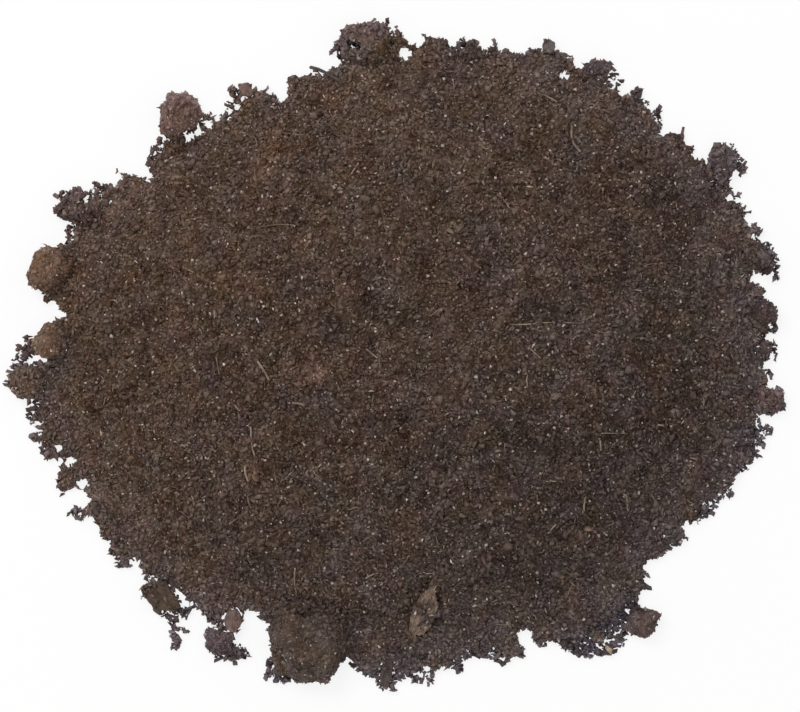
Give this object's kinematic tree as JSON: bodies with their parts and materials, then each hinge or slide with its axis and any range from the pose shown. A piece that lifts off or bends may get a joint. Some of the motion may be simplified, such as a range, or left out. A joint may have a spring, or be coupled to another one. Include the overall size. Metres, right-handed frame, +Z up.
{
  "type": "heap of terrarium substrate",
  "caption": "Low crumbly heap of dark brown peat substrate with a ragged, lobed rim, rounded clods, bark chips and a twig, lying flat for filling a terrarium.",
  "frame": {"origin": "middle of the heap's outline, on its flat underside", "axes": "+X along the heap's longest extent, to the right in the picture; +Y to the top of the picture; +Z up"},
  "size_m": [0.3106, 0.2666, 0.0455],
  "materials": {
    "peat": "loose matt dark brown peat crumb, damp",
    "fibre": "matt reddish brown matted root fibre",
    "dark_chip": "matt dark brown bark with a faint grain",
    "rust_chip": "matt rust brown bark",
    "pale_chip": "matt pale tan wood splinter",
    "bark": "matt tan fibrous bark with a grain along its length"
  },
  "bodies": {
    "root": {"mound": "peat", "large_clod": "peat", "upper_left_clod": "peat", "left_clod": "peat", "far_left_clod": "peat", "left_corner_clod": "peat", "top_clod": "peat", "upper_right_clod": "peat", "spiky_clod": "peat", "hook_clod": "peat", "right_clod": "peat", "small_right_clod": "peat", "spur_clod": "peat", "lower_right_clod": "peat", "lower_small_clod": "peat", "lower_left_clod": "peat", "fibrous_clod": "fibre", "brown_chip": "dark_chip", "block_chip": "dark_chip", "slat_chip": "dark_chip", "twig": "dark_chip", "red_chip": "rust_chip", "rust_chip": "rust_chip", "surface_chip": "rust_chip", "tan_chip": "pale_chip", "bark_chip": "bark"}
  },
  "joints": []
}
